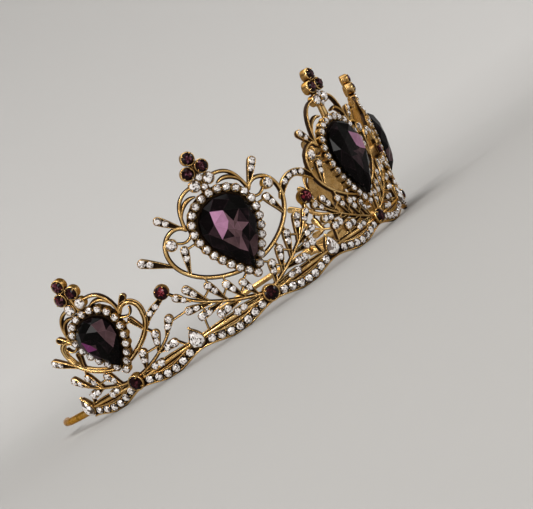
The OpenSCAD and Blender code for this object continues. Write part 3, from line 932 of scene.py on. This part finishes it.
def scroll_work(shape, half):
    kind = half.kind
    width, section = (END_SCROLL, BLADE) if kind == 0 else (SCROLL, ROUND_WIRE)
    sweep(shape, half, curve_points(LOBES[kind], 26), width, section)
    sweep(shape, half, curve_points(RETURNS[kind], 30), width, section)
    sweep(shape, half, curve_points(TOP_SCROLLS[kind], 24), TOP_SCROLL, ROUND_WIRE)
    t = np.linspace(0, 1, 31)
    leaf = 0.32 + 0.42 * np.sin(pi * t**0.8)
    sweep(shape, half, curve_points(INNER_LEAVES[kind], 30), leaf, STEM, LEAF_RIPPLE)
    curl = 0.5 - 0.12 * t
    sweep(shape, half, curve_points(HOOKS[kind], 30), curl, ROUND_WIRE)
    for row in SMALL_JOINTS if kind == 0 else FULL_JOINTS:
        sweep(shape, half, np.linspace(row[:2], row[2:], 5), JOINT, ROUND_WIRE, rounded=False)


# Leaves whose tips lie below a line hold fuller stones: the line's height at the motif's middle, its slope,
# and the size of those stones as a share of the others'.
LOW_LINE = 2.4
LOW_SLOPE = 0.2
FULLER = 1.08


def fern(shape, half, stones):
    small = half.kind == 0
    path = curve_points(SMALL_STEM if small else FULL_STEM, 70) * [half.stretch, 1.0]
    sweep(shape, half, path, np.linspace(*FERN_WIDTHS, 71), STEM, STEM_RIPPLE)
    for row in SMALL_LEAVES if small else FULL_LEAVES:
        low = row[3] < LOW_LINE + LOW_SLOPE * row[2]
        bud(shape, half, row, stones, half.stretch, full=FULLER if low else 1.0)


def set_wire(shape, half, curve, widths, stones, places, radius, slope):
    """A wire with a channel for small stones."""
    sweep(shape, half, curve_points(curve, 24), widths, CHANNEL)
    stones += [(half, place, radius, (1.0, slope), LEAF_STONE_DEPTH) for place in places]


def end_shoulder(shape, half):
    """The plain bud and the beaded one of an end motif."""
    bud(shape, half, UPPER_BUDS[0], rim=0.3)
    beaded = DIAGONAL_BUDS[0]
    bud(shape, half, beaded, rim=0.24, floor=0.5)
    line = np.linspace(beaded[:2], beaded[2:4], 12)[3:-1]
    for spot in even_steps(line, step=0.55):
        bead(shape, half.seat(*spot), (0, 0, 0.56), 0.24, 0.5)


def shoulders(shape, half, stones):
    kind = half.kind
    if kind == 0:
        end_shoulder(shape, half)
    else:
        bud(shape, half, UPPER_BUDS[kind], stones)
        bud(shape, half, DIAGONAL_BUDS[kind], stones)
        clawed_cup(shape, half.seat(*SIDE_CLEARS[kind]), "clear", SIDE_TURN)
    t = np.linspace(0, 1, 25)
    if half.form == "free":
        bud(shape, half, FREE_BUDS[kind], stones)
    elif half.form == "arch":
        widths = 0.75 + 0.5 * np.minimum(1, t * 2.2)
        set_wire(shape, half, SHOULDER_ARCH, widths, stones, ARCH_STONES, 1.02, 0.4)
    elif half.form == "ruby":
        widths = 0.7 + 0.4 * np.sin(pi * t)
        set_wire(shape, half, SHOULDER_RUBY, widths, stones, RUBY_STONES, 0.98, 0.3)


def leaf_stone_claws(shape, stones):
    for half, spot, radius, along, depth in stones:
        turned = atan2(along[1], along[0]) * half.side
        claws(shape, half.seat(*spot, turned), radius, depth + 0.14, 0.15)


# The pear-shaped cusps: height of the point, widths of the plate and of the stone, height of both, place of
# the stone, and the plate's rows of grow, depth, patina.
CUSP_POINT = 4.1
CUSP_PLATE_WIDTH = 4.2
CUSP_STONE_WIDTH = 4.3
CUSP_HEIGHT = 5.6
CUSP_STONE_PLACE = (0, -0.1, 1.25)
CUSP_PLATE = [
    (0.0, -0.75, 0.2), (0.22, -0.65, 0.4), (0.26, 0.2, 0.8), (0.27, 0.8, 0.2), (0.2, 0.98, 0.0),
    (0.1, 0.96, 0.1), (0.0, 0.7, 1.0), (-0.5, 0.6, 1.0),
]
# Place and radii of the knob above the point, then the claws' places and their radii.
CUSP_KNOB = [(0, 0.5, 0.45), (0.5, 0.55, 0.6)]
CUSP_CLAWS = [(-1.95, -2.4, 1.2), (1.95, -2.4, 1.2), (-1.35, -4.9, 1.2), (1.35, -4.9, 1.2)]
CUSP_CLAW_RADII = (0.24, 0.24, 0.34)


def cusp_setting(shape, arc):
    seat = Seat(arc, CUSP_POINT)
    pear_levels(shape, seat, CUSP_PLATE_WIDTH, CUSP_HEIGHT, CUSP_PLATE, 32, flip=-1.0)
    bead(shape, seat, *CUSP_KNOB)
    for place in CUSP_CLAWS:
        bead(shape, seat, place, CUSP_CLAW_RADII, CLAW_PATINA)


def cusp_stone(i):
    outline = -pear(CUSP_STONE_WIDTH, CUSP_HEIGHT, OUTLINE_TURNS)
    points, faces, kinds = gem_template(outline, np.array([0, -PEAR_MIDDLE * CUSP_HEIGHT]), CUSP_CUT)
    shape = Shape()
    seat = Seat(CUSPS[i], CUSP_POINT)
    shape.add(seat(points + CUSP_STONE_PLACE), faces, 0.0, facet_tones(kinds, CLEAR_TONES))
    shape.make(f"clear_pear_{i + 1}", CRYSTAL, f"cusp_stone_{i + 1}")


def side_wire(shape, side):
    turns = np.linspace(CUSPS[-1] / RING_RADIUS - WIRE_TUCK, WIRE_END, 60)
    caps = np.radians([20, 40, 60, 78, 88])
    rings = [(WIRE_RADIUS, turn, 0.0) for turn in turns]
    rings += [(WIRE_RADIUS * cos(v), WIRE_END, WIRE_RADIUS * sin(v)) for v in caps]
    points = []
    for radius, turn, beyond in rings:
        out = np.array([side * sin(turn), -cos(turn)])
        ahead = np.array([side * cos(turn), sin(turn)])
        for x, z in radius * circle(WIRE_SIDES):
            flat = out * (WIRE_RING + x) + ahead * beyond
            points.append((flat[0], flat[1] + CENTRE_Y, WIRE_HEIGHT + z))
    shape.add(points, tube_faces(len(rings), WIRE_SIDES), 0.2)


# The short wire between an end motif's fern and its neighbour's: arc and height of its middle, half length.
FERN_LINK_ARC = 2 * PITCH - 22.9
FERN_LINK_HEIGHT = 9.1
FERN_LINK_HALF = 2.3


def fern_link(shape, side):
    ends = [(side * FERN_LINK_ARC + step, FERN_LINK_HEIGHT) for step in (-FERN_LINK_HALF, FERN_LINK_HALF)]
    sweep(shape, on_wall, np.linspace(*ends, 7), JOINT, ROUND_WIRE)


def new_material(name):
    material = bpy.data.materials.new(name)
    material.use_nodes = True
    tree = material.node_tree
    shader = tree.nodes["Principled BSDF"]
    return material, tree, shader


def fill(tree, node, values):
    """Sets a node's sockets, by name or place, or links them where a value is another node's output."""
    for name, value in values.items():
        if isinstance(value, bpy.types.NodeSocket):
            tree.links.new(value, node.inputs[name])
        else:
            node.inputs[name].default_value = value


def add_node(tree, kind, values):
    node = tree.nodes.new("ShaderNode" + kind)
    fill(tree, node, values)
    return node


def coordinates(tree, name):
    return add_node(tree, "TexCoord", {}).outputs[name]


def attribute(tree, name):
    node = add_node(tree, "Attribute", {})
    node.attribute_name = name
    return node.outputs["Fac"]


def noise(tree, scale, detail, rough=0.6):
    where = coordinates(tree, "Object")
    values = {"Vector": where, "Scale": scale, "Detail": detail, "Roughness": rough}
    return add_node(tree, "TexNoise", values).outputs["Fac"]


def ramp(tree, source, stops):
    node = add_node(tree, "ValToRGB", {"Fac": source})
    points = node.color_ramp.elements
    while len(points) < len(stops):
        points.new(0.5)
    for point, (place, colour) in zip(points, stops):
        point.position = place
        point.color = (*colour, 1.0)
    return node.outputs["Color"]


def maths(tree, operation, *values):
    node = add_node(tree, "Math", dict(enumerate(values)))
    node.operation = operation
    return node.outputs[0]


def mix(tree, factor, a, b):
    node = tree.nodes.new("ShaderNodeMix")
    node.data_type = "RGBA"
    fill(tree, node, {"Factor": factor, 6: a, 7: b})
    return node.outputs[2]


def antique_gold():
    """Gold plate: bright where worn, brown where stained or painted with shade, nearly black in the
    recesses.

    A finish is a material, the record's slot for it, and whether its faces are shaded smooth.
    """
    material, tree, shader = new_material("antique_gold")
    crevice = add_node(tree, "AmbientOcclusion", {"Distance": 1.0 * MM})
    crevice.samples = 8
    deep = ramp(tree, crevice.outputs["AO"], [(0.3, (1, 1, 1)), (0.85, (0, 0, 0))])
    worn = ramp(tree, noise(tree, 480.0, 6.0, 0.7), [(0.44, (0, 0, 0)), (0.7, (1, 1, 1))])
    patches = ramp(tree, noise(tree, 150.0, 3.0), [(0.5, (0, 0, 0)), (0.66, (1, 1, 1))])
    tone = attribute(tree, "patina_and_shade")
    # The point tone brings painted shade into this darkening, besides the patina.
    dark = maths(tree, "MAXIMUM", tone, maths(tree, "MULTIPLY", deep, 0.9))
    for spots, share in ((worn, 0.22), (patches, 0.18)):
        dark = maths(tree, "ADD", dark, maths(tree, "MULTIPLY", spots, share))
    plate = ramp(tree, noise(tree, 220.0, 3.0), [(0.3, (0.78, 0.47, 0.15)), (0.7, (0.98, 0.72, 0.34))])
    stain_and_shade = ramp(tree, dark, [(0.0, (0, 0, 0)), (0.3, (0.62, 0.62, 0.62)), (0.75, (1, 1, 1))])
    brown_stops = [(0.2, (0.28, 0.12, 0.024)), (0.75, (0.034, 0.0125, 0.003)), (1.0, (0.01, 0.005, 0.003))]
    brown = ramp(tree, dark, brown_stops)
    grain = {"Strength": 0.6, "Distance": 0.1 * MM, "Height": noise(tree, 1300.0, 5.0, 0.7)}
    fill(tree, shader, {
        "Base Color": mix(tree, stain_and_shade, plate, brown),
        "Metallic": ramp(tree, dark, [(0.55, (1, 1, 1)), (0.95, (0.1, 0.1, 0.1))]),
        "Roughness": maths(tree, "MULTIPLY_ADD", dark, 0.42, 0.11),
        "Specular Tint": (0.8, 0.52, 0.25, 1.0),
        "Specular IOR Level": 0.16,
        "Normal": add_node(tree, "Bump", grain).outputs["Normal"],
    })
    return material, "antique_gold", True


def faceted_glass(name, slot, gloss, stops, metallic=0.0, rough=0.06, coat=0.0, cloud=0.06):
    """Foiled glass: each facet's colour is a light or dark painted reflection, with a faint cloud inside it.
    """
    material, tree, shader = new_material(name)
    cloudy = maths(tree, "MULTIPLY_ADD", noise(tree, 420.0, 2.0), 2 * cloud, -cloud)
    fill(tree, shader, {
        "Base Color": ramp(tree, maths(tree, "ADD", attribute(tree, "glint"), cloudy), stops),
        "Metallic": metallic,
        "Roughness": rough,
        "Specular IOR Level": gloss,
        "Coat Weight": coat,
        "Coat Roughness": 0.02,
    })
    return material, slot, False


GOLD = antique_gold()
PURPLE = faceted_glass("purple_glass", "purple_stone", gloss=0.06, rough=0.05, cloud=0.1, stops=[
    (0.0, (0.0012, 0.001, 0.0009)), (0.14, (0.004, 0.0025, 0.003)), (0.26, (0.038, 0.02, 0.025)),
    (0.38, (0.078, 0.044, 0.048)), (0.5, (0.135, 0.074, 0.09)), (0.66, (0.27, 0.13, 0.2)),
    (PINK, (0.49, 0.24, 0.4)), (0.94, (0.12, 0.024, 0.09)),
])
PLUM = faceted_glass("plum_glass", "purple_stone", gloss=0.1, stops=[
    (0.0, (0.003, 0.001, 0.001)), (0.5, (0.017, 0.003, 0.004)), (0.8, (0.07, 0.014, 0.02)),
    (1.0, (0.34, 0.17, 0.24)),
])
DARK_RED = faceted_glass("dark_red_glass", "dark_red_stone", gloss=0.12, stops=[
    (0.0, (0.003, 0.001, 0.001)), (0.5, (0.034, 0.002, 0.005)), (0.8, (0.15, 0.008, 0.018)),
    (1.0, (0.46, 0.12, 0.14)),
])
CRYSTAL = faceted_glass("clear_crystal", "clear_stone", gloss=0.4, metallic=0.2, coat=0.3, stops=[
    (0.0, (0.016, 0.011, 0.008)), (0.25, (0.13, 0.095, 0.075)), (0.45, (0.45, 0.385, 0.36)),
    (0.65, (0.84, 0.79, 0.78)), (1.0, (1.0, 0.98, 0.97)),
])


# The stage: a flat pale floor that rises gently all round, far outside the tiara, and runs on past the view.
FLAT_RADIUS = 0.5
RISE_RADIUS = 3.0
STAGE_SIDES = 96


def stage_material():
    material, tree, shader = new_material("pale_stage")
    away = add_node(tree, "VectorMath", {0: coordinates(tree, "Object")})
    away.operation = "LENGTH"
    distance = maths(tree, "MULTIPLY", away.outputs["Value"], 1 / (FLAT_RADIUS + RISE_RADIUS))
    # The floor's colour grows lighter away from the middle: painted light that brightens the far rise seen
    # behind the tiara.
    colour = ramp(tree, distance, [(0.03, (0.348, 0.338, 0.325)), (0.3, (0.5, 0.488, 0.472))])
    fill(tree, shader, {"Base Color": colour, "Roughness": 0.9, "Specular IOR Level": 0.1})
    return material


def openwork(m):
    """The pierced metal of one motif. It returns the stones of its buds and set wires."""
    metal = Shape()
    stones = []
    for row in HALVES[2 * m:2 * m + 2]:
        half = Half(row)
        base_rail(metal, half)
        blade(metal, half)
        scroll_work(metal, half)
        fern(metal, half, stones)
        shoulders(metal, half, stones)
    leaf_stone_claws(metal, stones)
    clawed_cup(metal, motif_seat(m, 0, 0), "base")
    metal.make("openwork_" + PLACES[m], GOLD, "frame")
    return stones


def setting(m):
    metal = Shape()
    pear_setting(metal, m)
    crest_metal(metal, m)
    metal.make("setting_" + PLACES[m], GOLD, "frame")


def clear_stones(m, stones):
    """The clear stones of the buds, then those of the halo."""
    small = Shape()
    for half, spot, radius, _, depth in stones:
        round_stone(small, half.seat(*spot), radius, depth)
    small.make("leaf_stones_" + PLACES[m], CRYSTAL)
    ring = Shape()
    halo_stones(ring, m)
    ring.make("halo_stones_" + PLACES[m], CRYSTAL, "halo_" + PLACES[m])


def single_stone(name, node, seat, kind, finish):
    stone = Shape()
    round_stone(stone, seat, *STONES[kind])
    stone.make(name, finish, node)


def dark_stones(m):
    place = PLACES[m]
    single_stone("dark_base_" + place, "base_stone_" + place, motif_seat(m, 0, 0), "base", PLUM)
    _, _, arc, height, top = CRESTS[KINDS[m]]
    for i, spot in enumerate(((-arc, height), (arc, height), (0, top))):
        number = f"{place}_{i + 1}"
        single_stone("dark_crest_" + number, "crest_" + number, motif_seat(m, *spot), "crest", PLUM)


def joins():
    """The metal between the motifs, and the side wires."""
    metal = Shape()
    for arc in LINK_ARCS:
        clawed_cup(metal, Seat(arc, LINK_HEIGHT), "link")
    for arc in CUSPS:
        cusp_setting(metal, arc)
    for side in (-1, 1):
        side_wire(metal, side)
        fern_link(metal, side)
    metal.make("joins_and_side_wires", GOLD, "frame")


def link_stone(i):
    seat = Seat(LINK_ARCS[i], LINK_HEIGHT)
    single_stone(f"red_link_{i + 1}", f"link_stone_{i + 1}", seat, "link", DARK_RED)


def rail_row(name, rows):
    stones = Shape()
    for row in rows:
        half = Half(row)
        for spot in rail_spots(half):
            round_stone(stones, half.seat(*spot), *STONES["rail"])
    stones.make("rail_row_" + name, CRYSTAL, "rail_stones_" + name)


def tiara():
    for m in range(len(PLACES)):
        bud_stones = openwork(m)
        setting(m)
        clear_stones(m, bud_stones)
        pear_gem(m)
        dark_stones(m)
    joins()
    for i in range(len(LINK_ARCS)):
        link_stone(i)
    for i in range(len(CUSPS)):
        cusp_stone(i)
    rail_row("left", LEFT_HALVES)
    rail_row("right", RIGHT_HALVES)


def pale_stage():
    rings = [(FLAT_RADIUS / 2, 0.0), (FLAT_RADIUS, 0.0)]
    for turn in np.radians(np.linspace(2, 50, 25)):
        rings.append((FLAT_RADIUS + RISE_RADIUS * sin(turn), RISE_RADIUS * (1 - cos(turn))))
    points = [(radius * x, radius * y, height) for radius, height in rings for x, y in circle(STAGE_SIDES)]
    faces = [face[::-1] for face in ring_faces(len(rings), STAGE_SIDES)]
    faces.append(tuple(range(STAGE_SIDES)))
    new_object("floor", new_mesh("floor", points, faces, stage_material(), True))


def soft_world():
    world = bpy.data.worlds.new("soft_world")
    bpy.context.scene.world = world
    world.use_nodes = True
    tree = world.node_tree
    upward = add_node(tree, "SeparateXYZ", {0: coordinates(tree, "Generated")}).outputs["Z"]
    sky = ramp(tree, upward, [(0.0, (0.5, 0.49, 0.47)), (1.0, (0.95, 0.94, 0.93))])
    fill(tree, tree.nodes["Background"], {"Color": sky, "Strength": 0.3})


def softbox(name, place, aim, size, power, colour):
    light = bpy.data.lights.new(name, "AREA")
    light.shape = "RECTANGLE"
    light.size, light.size_y = size
    light.energy = power
    light.color = colour
    lamp = new_object(name, light)
    lamp.location = place
    lamp.rotation_euler = (Vector(place) - Vector(aim)).to_track_quat("Z", "Y").to_euler()
    lamp.visible_camera = False


# The lights, in metres and watts: name, place, aim, width and height, power, colour.
TIARA_MIDDLE = (0.0, 0.0, 0.025)
WARM = (1.0, 0.98, 0.95)
LIGHTS = [
    ("key_light", (-2.2, -0.7, 1.9), TIARA_MIDDLE, (0.6, 0.6), 38.0, WARM),
    ("side_light", (-2.3, 0.7, 0.55), TIARA_MIDDLE, (1.0, 0.6), 24.0, WARM),
    ("front_light", (-1.0, -2.1, 0.5), TIARA_MIDDLE, (1.2, 0.6), 28.0, (1.0, 0.99, 0.97)),
    ("far_light", (1.8, -1.6, 0.55), TIARA_MIDDLE, (1.0, 0.6), 20.0, (0.98, 0.98, 1.0)),
    ("top_light", (0.0, 0.3, 2.8), (0.0, 0.0, 0.0), (3.2, 3.2), 80.0, (1.0, 1.0, 1.0)),
]

# The camera stands where the photo's does round the ring, but just above the floor, and leans as it does.
CAMERA_AZIMUTH = radians(-48.66)
CAMERA_ELEVATION = radians(2.0)
CAMERA_ROLL = radians(-34.0)
CAMERA_DISTANCE = 376.0 * MM
AIM_RIGHT = 20.35 * MM
AIM_UP = 8.79 * MM
FOCAL_PIXELS = 1066.9
PICTURE_WIDTH = 533


def photo_camera():
    ring_middle = Vector((0, CENTRE_Y * MM, REST_HEIGHT * MM))
    az, el = CAMERA_AZIMUTH, CAMERA_ELEVATION
    back = Vector((sin(az) * cos(el), -cos(az) * cos(el), sin(el)))
    right = Vector((cos(az), sin(az), 0))
    up = back.cross(right)
    place = ring_middle + back * CAMERA_DISTANCE
    aim = ring_middle + right * AIM_RIGHT + up * AIM_UP
    data = bpy.data.cameras.new("photo_camera")
    data.sensor_width = 36.0
    data.lens = FOCAL_PIXELS / PICTURE_WIDTH * data.sensor_width
    data.clip_start = 0.01
    data.clip_end = 60.0
    camera = new_object("photo_camera", data)
    level = (place - aim).to_track_quat("Z", "Y")
    camera.rotation_mode = "QUATERNION"
    camera.rotation_quaternion = level @ Matrix.Rotation(CAMERA_ROLL, 3, "Z").to_quaternion()
    camera.location = place
    bpy.context.scene.camera = camera


tiara()
pale_stage()
soft_world()
for row in LIGHTS:
    softbox(*row)
photo_camera()
bpy.context.scene.view_settings.view_transform = "Standard"
